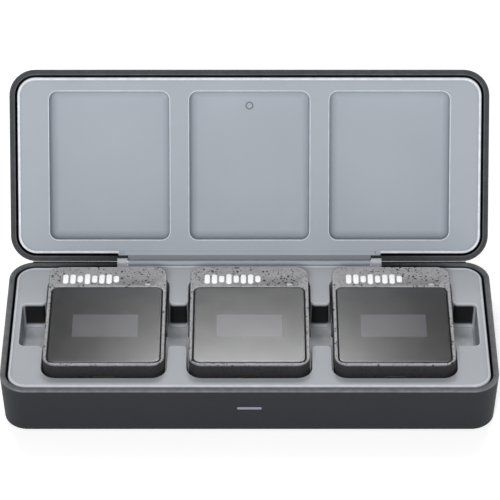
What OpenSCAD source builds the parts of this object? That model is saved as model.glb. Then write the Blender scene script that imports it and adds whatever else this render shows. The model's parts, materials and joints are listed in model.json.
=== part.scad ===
// Wireless instrument transmitter kit: two transmitters and a receiver in a hinged charging case.
// X runs along the case, Y from its front to its hinge, Z up. The origin is the centre of the
// anti-slip pad's underside. The lid is drawn open, which is the rest pose.

/* [Case] */
// Outside width of the case, left to right
case_w = 184; // [182:1:190]
// Outside depth of the case, front to back
case_d = 74; // [74:1:78]
// Height of the base rim above the table
base_h = 20.8; // [20.8:0.2:23]
// Plan radius of the case corners
case_r = 10; // [9:0.5:11]
// Thickness of the case walls
wall = 2.1; // [1.9:0.1:2.2]
// How far the base walls lean in towards the floor
base_draft = 1; // [0.6:0.1:1.1]
// Height of the lid from its rim to its top
lid_h = 12.6; // [12.4:0.2:15]
// How far the lid stands open, in degrees from closed
lid_open = 122; // [100:1:125]
// Gap between the two rims when the lid is closed
seam = 0.3; // [0.3:0.1:0.5]

/* [Hinge] */
// Radius of the hinge barrel
barrel_r = 1.5; // [1.4:0.1:1.5]
// Radius of the hinge pin
pin_r = 0.6; // [0.5:0.1:0.7]
// Half of the width of the cut-out for the hinge
hinge_half = 51; // [45:1:55]
// Length of each end knuckle
knuckle_l = 3.6; // [3:0.2:6]

/* [Tray and liner] */
// Thickness of the moulded plates
plate_t = 1.5; // [1.2:0.1:1.6]
// Thickness of the walls and floors of wells and recesses
skin = 1.2; // [1:0.1:1.2]
// Groove between a case wall and the plate inside it
groove = 0.7; // [0.5:0.1:0.8]
// How far a plate lies below its rim
plate_drop = 0.4; // [0.3:0.1:0.5]
// Gap between a unit and its well, on every side
well_gap = 0.8; // [0.7:0.1:0.9]
// Height of the well floor above the table
well_z = 9.2; // [9.2:0.1:9.6]
// Depth of the recesses in the lid
recess_depth = 6.4; // [6:0.2:6.6]
// Depth of the finger slot, front to back
slot_d = 23.7; // [20:0.5:26]
// Where the middle of the finger slot lies, behind the middle of the case
slot_y = 0.85; // [0:0.05:1]
// Distance from the case's outer wall to the end of the finger slot
slot_end = 6; // [5.5:0.5:8]

/* [Units] */
// Width of a unit
unit_w = 44.8; // [44:0.2:45]
// Depth of a unit, front to back
unit_d = 56.4; // [56:0.2:56.6]
// Thickness of a unit, clip to glass
unit_t = 16.5; // [16:0.1:16.6]
// Distance between the middles of neighbouring units
pitch = 53.8; // [53.6:0.1:54]
// Corner radius of a unit
unit_r = 5; // [4.5:0.5:6]
// Thickness of a unit's walls
unit_wall = 1.6; // [1.4:0.1:1.7]
// Space taken by the clip under a unit
clip_t = 3.5; // [3.5:0.1:3.6]
// Width of the front glass
glass_w = 41.7; // [40:0.1:41.8]
// Depth of the front glass
glass_d = 42.6; // [40:0.1:43]
// Thickness of the front glass
glass_t = 0.9; // [0.8:0.1:1]
// Distance from a unit's front edge to the glass
glass_edge = 1.8; // [1.8:0.1:2.2]

/* [Controls and sockets] */
// Length of a side button
button_l = 7; // [5:0.5:9]
// Height of a side button
button_h = 2.4; // [2:0.1:2.6]
// Travel of a side button
button_travel = 0.4; // [0.3:0.1:0.4]
// Bore of the 3.5 mm audio jack
jack_bore = 3.6; // [3.55:0.05:3.7]
// Depth of the audio jack's bore
jack_depth = 12; // [11:0.5:12.5]
// Travel of the sprung contact pins
pin_travel = 0.5; // [0.3:0.1:0.5]

/* [Hidden] */
$fn = 48;
fine = 0.1;
slide_gap = 0.05;

UNITS = [["left_transmitter", -1], ["receiver", 0], ["right_transmitter", 1]];
WELLS = [["left", -1], ["centre", 0], ["right", 1]];
CASE_NODES = ["base_shell", "base_tray", "anti_slip_pad", "status_light", "charge_inlet",
    "charge_board", "case_battery", "base_magnets", "base_screws", "contact_blocks", "hinge_pin",
    "lid_shell", "lid_liner", "lid_magnets"];
UNIT_PIECES = ["front_housing", "rear_housing", "glass", "display", "status_lens", "circuit_board",
    "battery", "power_button", "link_button", "usb_socket", "audio_jack", "clip", "charge_contacts"];

// Colours
graphite = [0.20, 0.21, 0.23];
liner_grey = [0.66, 0.69, 0.73];
speckled_grey = [0.42, 0.43, 0.45];
rubber_black = [0.10, 0.10, 0.11];
board_green = [0.10, 0.30, 0.20];
cell_silver = [0.70, 0.70, 0.72];
gold = [0.85, 0.65, 0.30];
steel = [0.75, 0.76, 0.78];

// Base: heights above the table
pad_t = 1;
pad_out = 0.6;
pad_margin = 6;
pad_w = case_w - 2 * pad_margin;
pad_d = case_d - 2 * pad_margin;
pad_corner = case_r - pad_margin + 2;
floor_t = 2;
floor_z = pad_out + floor_t;
base_round = 0.8;
rim_bevel = 0.4;
cavity_w = case_w - 2 * wall;
cavity_d = case_d - 2 * wall;
cavity_r = case_r - wall;
plate_w = cavity_w - 2 * groove;
plate_d = cavity_d - 2 * groove;
plate_r = cavity_r - groove;
tray_z = base_h - plate_drop;

// Wells and the finger slot that crosses them
well_w = unit_w + 2 * well_gap;
well_d = unit_d + 2 * well_gap;
well_r = unit_r + well_gap;
slot_w = case_w - 2 * slot_end;
slot_r = 2;

// Lid, in its closed place
lid_z = base_h + seam;
lid_top = lid_z + lid_h;
lid_round = 3;
lid_draft = 0.6;
lid_roof = 2;
liner_z = lid_z + plate_drop;
recess_d = well_d - 0.2;
recess_r = 3;

// Hinge axis, just behind and just under the back edge of the base rim
axis_y = case_d / 2 + 0.2;
axis_z = base_h - 0.2;
barrel_gap = 0.35;
tab_y = axis_y - barrel_r - barrel_gap;
lid_knuckle_half = hinge_half - 0.4 - knuckle_l - 0.4;
notch_low = tray_z - plate_t - 0.2;
notch_high = liner_z + plate_t + 0.2;
web_t = 1;

// Closing magnets, screws and the light bar
magnet = [12, 3, 3];
magnet_x = 40;
magnet_y = -cavity_d / 2 + 2.3;
screw_x = cavity_w / 2 - 6.4;
screw_y = cavity_d / 2 - 7.9;
screw_r = 1;
screw_top = 16.5;
head_r = 1.9;
head_h = 1.2;
column_r = 3.2;
column_top = 12;
light_w = 9;
light_h = 1.1;
light_z = 11.9;

// Charging electronics: a strip under the contacts and a stem back to the inlet, each by two corners
board_z = 4;
board_t = 1.2;
BOARD_STRIP = [[-66, -27], [66, -16.6]];
BOARD_STEM = [[-11, -17], [11, 32]];
BOARD_POSTS = [[-60, -22], [60, -22], [0, 0]];
post_r = 2;
cell_size = [60, 40, 4.8];
cell_x = 43;
cell_y = 6;
inlet_w = 9;
inlet_h = 3.3;
inlet_l = 7.4;
inlet_wall = 0.35;
tongue_w = 6.6;
tongue_t = 0.7;
inlet_z = board_z + board_t / 2;
inlet_y = case_d / 2 - base_draft;
block_size = [14, 4.4];
block_y = -22;
block_top = well_z + clip_t - pin_travel - 0.4;
pin_l = 5;
contact_count = 4;
contact_pitch = 3;
contact_r = 0.6;
pad_r = 1;

// Unit levels, above the unit's own underside
rear_t = 3;
seam_z = clip_t + rear_t;
top_t = 1.6;
glass_z = unit_t - glass_t;
glass_r = 2.5;
glass_y = -unit_d / 2 + glass_edge + glass_d / 2;
display_size = [28, 16, 1.5];
display_y = glass_y - 0.9;
lens_x = 15.2;
lens_y = 17.8;
lens_size = [2.1, 1];
unit_board = [39, 50];
unit_board_z = 11;
unit_board_t = 0.8;
unit_cell = [34, 32, 5];
unit_cell_y = -3;
usb_z = unit_board_z - inlet_h / 2;
button_y = slot_y;
button_z = 8.5;
button_out = button_travel + 0.2;
button_flange = 0.8;
jack_r = 2.9;
jack_z = 9.6;
jack_l = 13.2;
jack_nose = 3;
clip_w = 16;
clip_front = -14;
clip_back = 22;
clip_tongue = 1.2;
clip_foot = 6;
clip_ridge = 1;

// ---------- shared shapes ----------

// Plan of a rounded rectangle, centred on the origin
module outline(w, d, r) {
    square([w - 2 * r, d], center = true);
    square([w, d - 2 * r], center = true);
    for (sx = [-1, 1], sy = [-1, 1])
        translate([sx * (w / 2 - r), sy * (d / 2 - r)])
            circle(r = r);
}

// Upright rounded block from height z to height z + h
module slab(w, d, r, z, h) {
    translate([0, 0, z])
        linear_extrude(h)
            outline(w, d, r);
}

// Quarter-round edge as [inset, rise] pairs, from the flat face out to the side
function round_edge(r, n) = [for (i = [0 : n]) [r - r * sin(90 * i / n), r - r * cos(90 * i / n)]];

// Block with a rounded plan whose side follows [inset, height] pairs from bottom to top
module profiled(w, d, r, side) {
    low = side[0][1];
    high = side[len(side) - 1][1];
    corner = concat([[0, low]], [for (p = side) [r - p[0], p[1]]], [[0, high]]);
    for (mx = [0, 1], my = [0, 1])
        mirror([mx, 0, 0])
            mirror([0, my, 0])
                translate([w / 2 - r, d / 2 - r, 0])
                    rotate_extrude(angle = 90)
                        polygon(corner);
    rotate([90, 0, 90])
        linear_extrude(w - 2 * r, center = true)
            mirrored_section(d / 2, side);
    rotate([90, 0, 0])
        linear_extrude(d - 2 * r, center = true)
            mirrored_section(w / 2, side);
}

// Upright section, the same on both sides of the middle
module mirrored_section(half, side) {
    n = len(side) - 1;
    polygon(concat([for (p = side) [half - p[0], p[1]]],
        [for (i = [n : -1 : 0]) [side[i][0] - half, side[i][1]]]));
}

// Solid that runs from y0 to y1, with a rounded section centred at [x, z]
module through_y(x, z, w, h, r, y0, y1) {
    translate([x, y1, z])
        rotate([90, 0, 0])
            linear_extrude(y1 - y0)
                outline(w, h, r);
}

// Rod along X, centred at x = 0
module rod_x(r, l, y, z) {
    translate([-l / 2, y, z])
        rotate([0, 90, 0])
            cylinder(r = r, h = l);
}

// Rod along Y from y0 to y1, centred at x = 0
module rod_y(r, z, y0, y1) {
    translate([0, y1, z])
        rotate([90, 0, 0])
            cylinder(r = r, h = y1 - y0);
}

// Box given by its lowest and highest corners
module span(low, high) {
    translate(low)
        cube(high - low);
}

// Round-ended USB socket shell whose mouth is at y = mouth and which runs towards -Y
module socket_shell(z, mouth) {
    difference() {
        through_y(0, z, inlet_w, inlet_h, inlet_h / 2 - fine, mouth - inlet_l, mouth);
        through_y(0, z, inlet_w - 2 * inlet_wall, inlet_h - 2 * inlet_wall,
            inlet_h / 2 - inlet_wall - fine, mouth - inlet_l + 1, mouth + 1);
    }
    span([-tongue_w / 2, mouth - inlet_l + 0.5, z - tongue_t / 2],
        [tongue_w / 2, mouth - 1, z + tongue_t / 2]);
}

// Repeats its children at each of the three wells
module at_wells() {
    for (w = WELLS)
        translate([w[1] * pitch, 0, 0])
            children();
}

// Repeats its children at the contact positions, along X
module at_contacts() {
    for (i = [0 : contact_count - 1])
        translate([(i - (contact_count - 1) / 2) * contact_pitch, block_y, 0])
            children();
}

// Repeats its children at the four screws
module at_screws() {
    for (sx = [-1, 1], sy = [-1, 1])
        translate([sx * screw_x, sy * screw_y, 0])
            children();
}

// ---------- base ----------

base_side = concat([for (p = round_edge(base_round, 4)) [p[0] + base_draft, p[1] + pad_out]],
    [[0, base_h - rim_bevel], [rim_bevel, base_h]]);

module base_shell() {
    color(graphite)
        difference() {
            union() {
                difference() {
                    profiled(case_w, case_d, case_r, base_side);
                    slab(cavity_w, cavity_d, cavity_r, floor_z, base_h);
                }
                at_screws()
                    translate([0, 0, floor_z - fine])
                        cylinder(r = column_r, h = column_top - floor_z + fine);
                for (post = BOARD_POSTS)
                    translate([post[0], post[1], floor_z - fine])
                        cylinder(r = post_r, h = board_z - floor_z + fine);
            }
            slab(pad_w, pad_d, pad_corner, 0, pad_t);
            at_screws() {
                cylinder(r = head_r + fine, h = floor_z);
                cylinder(r = screw_r + fine, h = column_top + 1);
            }
            through_y(0, light_z, light_w + 2 * fine, light_h + 2 * fine, light_h / 2,
                -case_d / 2 - 1, -cavity_d / 2 + 1);
            through_y(0, inlet_z, inlet_w + 4 * fine, inlet_h + 4 * fine, inlet_h / 2,
                cavity_d / 2 - 1, case_d / 2 + 1);
            span([-hinge_half, cavity_d / 2 - fine, notch_low],
                [hinge_half, case_d / 2 + 1, base_h + 1]);
        }
}

module base_tray() {
    color(liner_grey)
        difference() {
            union() {
                slab(plate_w, plate_d, plate_r, tray_z - plate_t, plate_t);
                at_wells()
                    slab(well_w + 2 * skin, well_d + 2 * skin, well_r + skin,
                        well_z - skin, tray_z - well_z + skin - plate_t / 2);
                translate([0, slot_y, 0])
                    slab(slot_w + 2 * skin, slot_d + 2 * skin, slot_r + skin,
                        well_z - skin, tray_z - well_z + skin - plate_t / 2);
                at_screws()
                    translate([0, 0, column_top + fine])
                        cylinder(r = column_r - 0.6, h = tray_z - plate_t / 2 - column_top - fine);
                span([-hinge_half + 0.4, plate_d / 2 - 1, tray_z - plate_t],
                    [hinge_half - 0.4, tab_y, tray_z]);
                for (s = [-1, 1])
                    end_knuckle(s);
            }
            at_wells()
                slab(well_w, well_d, well_r, well_z, base_h);
            translate([0, slot_y, 0])
                slab(slot_w, slot_d, slot_r, well_z, base_h);
            at_screws()
                translate([0, 0, column_top])
                    cylinder(r = screw_r + slide_gap, h = screw_top + 0.5 - column_top);
            at_wells()
                translate([0, block_y, 0])
                    slab(block_size[0] + 2 * fine, block_size[1] + 2 * fine, 1, well_z - skin - 1, skin + 2);
            rod_x(pin_r, 2 * hinge_half, axis_y, axis_z);
        }
}

// Hinge knuckle at one end of the barrel, with the web that joins it to the tray
module end_knuckle(s) {
    middle = s * (hinge_half - 0.4 - knuckle_l / 2);
    translate([middle, 0, 0]) {
        rod_x(barrel_r, knuckle_l, axis_y, axis_z);
        span([-knuckle_l / 2, tab_y - 1, axis_z - barrel_r + 0.3], [knuckle_l / 2, axis_y, tray_z - 0.1]);
    }
}

module anti_slip_pad() {
    color(rubber_black)
        slab(pad_w - 2 * fine, pad_d - 2 * fine, pad_corner - fine, 0, pad_t);
}

module status_light() {
    front = -case_d / 2 + base_draft / 2;
    color("white") {
        through_y(0, light_z, light_w, light_h, light_h / 2 - fine, front, -cavity_d / 2 + 0.2);
        through_y(0, light_z, light_w + 2, light_h + 2, light_h / 2, -cavity_d / 2, -cavity_d / 2 + 0.8);
    }
}

module charge_inlet() {
    color(steel)
        socket_shell(inlet_z, inlet_y);
}

module charge_board() {
    color(board_green)
        difference() {
            union() {
                board_part(BOARD_STRIP);
                board_part(BOARD_STEM);
            }
            span([-inlet_w / 2 - fine, inlet_y - inlet_l - fine, 0],
                [inlet_w / 2 + fine, case_d / 2, well_z]);
        }
}

// Rectangle of the charge board, given by two corners of its plan
module board_part(plan) {
    span([plan[0][0], plan[0][1], board_z], [plan[1][0], plan[1][1], board_z + board_t]);
}

module case_battery() {
    color(cell_silver)
        for (s = [-1, 1])
            translate([s * cell_x, cell_y, 0])
                slab(cell_size[0], cell_size[1], 2, floor_z, cell_size[2]);
}

module base_magnets() {
    color(steel)
        for (s = [-1, 1])
            translate([s * magnet_x - magnet[0] / 2, magnet_y - magnet[1] / 2, tray_z - plate_t - magnet[2]])
                cube(magnet);
}

module base_screws() {
    color(steel)
        at_screws() {
            translate([0, 0, floor_z - head_h])
                cylinder(r = head_r, h = head_h);
            translate([0, 0, floor_z - fine])
                cylinder(r = screw_r, h = screw_top - floor_z + fine);
        }
}

module contact_blocks() {
    color(rubber_black)
        at_wells()
            difference() {
                translate([0, block_y, 0])
                    slab(block_size[0], block_size[1], 0.9, board_z + board_t, block_top - board_z - board_t);
                at_contacts()
                    translate([0, 0, board_z + board_t + 1])
                        cylinder(r = contact_r + slide_gap, h = block_top);
            }
}

module contact_pins() {
    color(gold)
        at_contacts()
            translate([0, 0, well_z + clip_t - pin_l])
                cylinder(r = contact_r, h = pin_l);
}

module hinge_pin() {
    color(steel)
        rod_x(pin_r, 2 * hinge_half - 2, axis_y, axis_z);
}

// ---------- lid, drawn closed and then opened ----------

lid_side = concat([[rim_bevel, lid_z], [0, lid_z + rim_bevel]],
    [for (p = lid_edge(4)) [p[0] + lid_draft, lid_top - p[1]]]);

// The lid's top edge, from the side up to the flat top
function lid_edge(n) = [for (i = [n : -1 : 0]) round_edge(lid_round, n)[i]];

// Turns its children from the closed place to the open one
module opened() {
    translate([0, axis_y, axis_z])
        rotate([-lid_open, 0, 0])
            translate([0, -axis_y, -axis_z])
                children();
}

module lid_shell() {
    color(graphite)
        opened()
            difference() {
                profiled(case_w, case_d, case_r, lid_side);
                slab(cavity_w, cavity_d, cavity_r, lid_z - 1, lid_h - lid_roof + 1);
                span([-hinge_half, cavity_d / 2 - fine, lid_z - 1],
                    [hinge_half, case_d / 2 + 1, notch_high]);
            }
}

module lid_liner() {
    color(liner_grey)
        opened()
            difference() {
                union() {
                    slab(plate_w, plate_d, plate_r, liner_z, plate_t);
                    at_wells()
                        slab(well_w + 2 * skin, recess_d + 2 * skin, recess_r + skin,
                            liner_z + plate_t / 2, recess_depth + skin - plate_t / 2);
                    span([-hinge_half + 0.4, plate_d / 2 - 1, liner_z],
                        [hinge_half - 0.4, tab_y, liner_z + plate_t]);
                    span([-lid_knuckle_half, tab_y - 1, liner_z - 0.2],
                        [lid_knuckle_half, axis_y, liner_z + web_t - 0.2]);
                    rod_x(barrel_r, 2 * lid_knuckle_half, axis_y, axis_z);
                }
                at_wells()
                    slab(well_w, recess_d, recess_r, liner_z - 1, recess_depth + 1);
                rod_x(pin_r + slide_gap, 2 * hinge_half, axis_y, axis_z);
            }
}

module lid_magnets() {
    color(steel)
        opened()
            for (s = [-1, 1])
                translate([s * magnet_x - magnet[0] / 2, magnet_y - magnet[1] / 2, liner_z + plate_t])
                    cube(magnet);
}

// ---------- one unit, drawn with its clip's underside at z = 0 ----------

unit_side = [[0, seam_z], [0, unit_t - 0.6], [0.2, unit_t - 0.2], [0.6, unit_t]];
rear_side = [[1.2, clip_t], [0.4, clip_t + 0.4], [0, clip_t + 1.2], [0, seam_z]];

module front_housing() {
    color(speckled_grey)
        difference() {
            profiled(unit_w, unit_d, unit_r, unit_side);
            slab(unit_w - 2 * unit_wall, unit_d - 2 * unit_wall, unit_r - unit_wall,
                seam_z - 1, unit_t - top_t - seam_z + 1);
            translate([0, glass_y, 0])
                slab(glass_w + 2 * fine, glass_d + 2 * fine, glass_r + fine, glass_z, 2);
            translate([0, display_y, 0])
                slab(display_size[0] - 2, display_size[1] - 2, 1, seam_z, unit_t);
            translate([lens_x, lens_y, 0])
                slab(lens_size[0] + 2 * slide_gap, lens_size[1] + 2 * slide_gap, lens_size[1] / 2,
                    seam_z, unit_t);
            button_hole(1);
            button_hole(-1);
            through_y(0, usb_z, inlet_w + 2 * fine, inlet_h + 2 * fine, inlet_h / 2,
                -unit_d / 2 - 1, -unit_d / 2 + unit_wall + 1);
            rod_y(jack_r + slide_gap, jack_z, unit_d / 2 - unit_wall - 1, unit_d / 2 + 1);
        }
}

// Opening for a side button, on the side that s gives
module button_hole(s) {
    gap = 0.15;
    translate([s * unit_w / 2, button_y, button_z])
        rotate([90, 0, 90])
            linear_extrude(2 * unit_wall + 1, center = true)
                outline(button_l + 2 * gap, button_h + 2 * gap, button_h / 2);
}

module rear_housing() {
    color(graphite)
        difference() {
            profiled(unit_w, unit_d, unit_r, rear_side);
            slab(unit_w - 2 * unit_wall, unit_d - 2 * unit_wall, unit_r - unit_wall,
                clip_t + unit_wall, unit_t);
            at_contacts()
                translate([0, 0, clip_t - 1])
                    cylinder(r = pad_r + slide_gap, h = 4);
        }
}

module glass() {
    color([0.15, 0.15, 0.17])
        translate([0, glass_y, 0])
            slab(glass_w, glass_d, glass_r, glass_z, glass_t);
}

module display() {
    color([0.35, 0.35, 0.38])
        translate([0, display_y, unit_t - top_t - display_size[2]])
            translate([-display_size[0] / 2, -display_size[1] / 2, 0])
                cube(display_size);
}

module status_lens() {
    color("white")
        translate([lens_x, lens_y, 0])
            slab(lens_size[0], lens_size[1], lens_size[1] / 2 - slide_gap,
                unit_board_z + unit_board_t, unit_t - unit_board_z - unit_board_t);
}

module circuit_board() {
    color(board_green)
        difference() {
            slab(unit_board[0], unit_board[1], 2, unit_board_z, unit_board_t);
            span([-jack_r - 0.6, unit_d / 2 - jack_l - 1, 0], [jack_r + 0.6, unit_d / 2, unit_t]);
        }
}

module battery() {
    color(cell_silver)
        translate([0, unit_cell_y, 0])
            slab(unit_cell[0], unit_cell[1], 1.5, clip_t + unit_wall, unit_cell[2]);
}

// Side button with a flange that keeps it in; s gives its side
module side_button(s) {
    inner = unit_w / 2 - unit_wall - fine;
    color(rubber_black)
        translate([0, button_y, button_z])
            mirror([s < 0 ? 1 : 0, 0, 0])
                rotate([90, 0, 90]) {
                    translate([0, 0, inner - fine])
                        linear_extrude(unit_w / 2 + button_out - inner + fine)
                            outline(button_l, button_h, button_h / 2 - fine);
                    translate([0, 0, inner - button_flange])
                        linear_extrude(button_flange)
                            outline(button_l + 2, button_h + 1.2, button_h / 2);
                }
}

module usb_socket() {
    color(steel)
        mirror([0, 1, 0])
            socket_shell(usb_z, unit_d / 2);
}

module audio_jack() {
    mouth = unit_d / 2;
    color(rubber_black)
        difference() {
            union() {
                rod_y(jack_r, jack_z, mouth - jack_nose, mouth);
                span([-jack_r, mouth - jack_l, jack_z - jack_r],
                    [jack_r, mouth - jack_nose + 1, jack_z + jack_r]);
            }
            rod_y(jack_bore / 2, jack_z, mouth - jack_depth, mouth + 1);
        }
}

module clip() {
    color(graphite) {
        translate([0, (clip_front + clip_back) / 2, 0])
            slab(clip_w, clip_back - clip_front, 2, 0, clip_tongue);
        translate([0, clip_back - clip_foot / 2, 0])
            slab(clip_w, clip_foot, 1.9, clip_tongue - 0.2, clip_t - clip_tongue + 0.2);
        rod_x(clip_ridge, clip_w - 4, clip_front + 2.5, clip_tongue);
    }
}

module charge_contacts() {
    color(gold)
        at_contacts()
            translate([0, 0, clip_t])
                cylinder(r = pad_r, h = unit_wall);
}

// Puts its children in the well of unit u
module in_well(u) {
    translate([u[1] * pitch, 0, well_z])
        children();
}

// ---------- assembly ----------

base_shell();
base_tray();
anti_slip_pad();
status_light();
charge_inlet();
charge_board();
case_battery();
base_magnets();
base_screws();
contact_blocks();
hinge_pin();
lid_shell();
lid_liner();
lid_magnets();

for (w = WELLS)
    translate([w[1] * pitch, 0, 0]) contact_pins();

for (u = UNITS) {
    in_well(u) front_housing();
    in_well(u) rear_housing();
    in_well(u) glass();
    in_well(u) display();
    in_well(u) status_lens();
    in_well(u) circuit_board();
    in_well(u) battery();
    in_well(u) side_button(1);
    in_well(u) side_button(-1);
    in_well(u) usb_socket();
    in_well(u) audio_jack();
    in_well(u) clip();
    in_well(u) charge_contacts();
}
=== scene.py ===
"""Wireless instrument transmitter kit: looks of the charging case, its lid and its three clip-on units."""
import json
import logging
import math
from collections.abc import Callable, Sequence
from dataclasses import dataclass, field
from enum import Enum

import bmesh
import bpy
import numpy as np
from mathutils.geometry import tessellate_polygon
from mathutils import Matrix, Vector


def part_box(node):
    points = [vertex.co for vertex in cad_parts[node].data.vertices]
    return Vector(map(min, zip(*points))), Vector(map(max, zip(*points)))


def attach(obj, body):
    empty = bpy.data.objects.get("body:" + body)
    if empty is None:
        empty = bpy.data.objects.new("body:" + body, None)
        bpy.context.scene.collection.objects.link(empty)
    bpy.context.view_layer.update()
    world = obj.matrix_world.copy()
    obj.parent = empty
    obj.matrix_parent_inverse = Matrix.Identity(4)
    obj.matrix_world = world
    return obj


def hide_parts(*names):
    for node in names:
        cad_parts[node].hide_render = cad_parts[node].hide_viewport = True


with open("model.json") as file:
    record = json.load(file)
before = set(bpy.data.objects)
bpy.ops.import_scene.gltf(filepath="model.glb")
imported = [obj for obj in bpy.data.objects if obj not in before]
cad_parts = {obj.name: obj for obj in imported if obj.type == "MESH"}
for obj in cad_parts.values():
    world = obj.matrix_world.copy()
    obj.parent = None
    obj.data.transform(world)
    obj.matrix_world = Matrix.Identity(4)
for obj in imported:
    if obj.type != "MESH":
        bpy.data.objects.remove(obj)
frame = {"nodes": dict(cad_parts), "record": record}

Array = np.ndarray
Socket = bpy.types.NodeSocket
MM = 0.001
SHARP_DEGREES = 50
log = logging.getLogger("kit")


# ---------- plans, profiles and solids ----------


def span_mm(node: str) -> tuple[Array, Array]:
    """Box of a CAD node at rest.

    Args:
        node: name of the node.

    Returns:
        Its lowest and its highest corner, in millimetres.
    """
    low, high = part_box(node)
    return np.array(low) / MM, np.array(high) / MM


@dataclass(frozen=True)
class Outline:
    """Closed plan of straight runs joined by round corners, counter-clockwise, in millimetres.

    A corner holds its x, its y and its radius. Corners may turn either way.
    """

    corners: tuple[tuple[float, float, float], ...]
    steps: int = 8

    @staticmethod
    def block(low: Sequence[float], high: Sequence[float], radius: float, steps: int = 8) -> "Outline":
        """Rounded rectangle.

        Args:
            low: lowest x and y.
            high: highest x and y.
            radius: corner radius.
            steps: pieces in each corner's arc.

        Returns:
            The plan.
        """
        (x0, y0), (x1, y1) = low[:2], high[:2]
        return Outline(((x0, y0, radius), (x1, y0, radius), (x1, y1, radius), (x0, y1, radius)), steps)

    def ring(self, grow: float = 0.0, least: float = 0.01) -> Array:
        """Points of the plan after its edge has moved outwards.

        Each corner slides along both of its neighbours' normals, and its radius grows by the same
        distance where it bulges and shrinks where it is hollow. The arc then starts and ends one
        radius times the tangent of half the turn from the corner, and every point of it is its
        centre plus the radius along a normal that turns evenly from the first edge to the second.

        Args:
            grow: distance moved outwards; negative moves inwards.
            least: smallest radius that a corner may take.

        Returns:
            One row per point.
        """
        data = np.array(self.corners, float)
        place, radius = data[:, :2], data[:, 2]
        into = place - np.roll(place, 1, axis=0)
        into /= np.linalg.norm(into, axis=1, keepdims=True)
        away = np.roll(into, -1, axis=0)
        side_in = np.stack([into[:, 1], -into[:, 0]], axis=1)
        side_out = np.stack([away[:, 1], -away[:, 0]], axis=1)
        turn = np.arctan2(into[:, 0] * away[:, 1] - into[:, 1] * away[:, 0], (into * away).sum(axis=1))
        bulge = np.sign(turn)[:, None]
        place = place + grow * (side_in + side_out) / (1 + (side_in * side_out).sum(axis=1))[:, None]
        radius = np.maximum(radius[:, None] + bulge * grow, least)
        centre = place - into * radius * np.tan(np.abs(turn) / 2)[:, None] - bulge * radius * side_in
        angle = turn[:, None] * np.linspace(0, 1, self.steps + 1)
        across, up = side_in[:, :1], side_in[:, 1:]
        normal = np.stack([across * np.cos(angle) - up * np.sin(angle),
                           across * np.sin(angle) + up * np.cos(angle)], axis=2)
        return (centre[:, None] + (bulge * radius)[:, :, None] * normal).reshape(-1, 2)


@dataclass
class Profile:
    """Cross-section of an edge: rows of growth, height, and wear with painted highlight, followed from one
    end to the other.
    """

    rows: list[tuple[float, float, float]] = field(default_factory=list)

    def at(self, grow: float, height: float, wear_and_highlight: float = 0.0) -> "Profile":
        """Adds one row and returns the profile."""
        self.rows.append((grow, height, wear_and_highlight))
        return self

    def round(self, centre: tuple[float, float], radius: float, start: float, stop: float,
              wear_and_highlight: float = 0.0, steps: int = 4) -> "Profile":
        """Adds an arc: centre plus the radius times the cosine and sine of evenly spaced angles.

        Args:
            centre: growth and height of the arc's centre.
            radius: radius of the arc.
            start: first angle, in degrees, from straight outwards.
            stop: last angle, in degrees.
            wear_and_highlight: how much wear and painted highlight the arc has, from 0 to 1.
            steps: pieces in the arc.

        Returns:
            The profile.
        """
        for angle in np.radians(np.linspace(start, stop, steps + 1)):
            self.at(centre[0] + radius * math.cos(angle), centre[1] + radius * math.sin(angle), wear_and_highlight)
        return self


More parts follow.
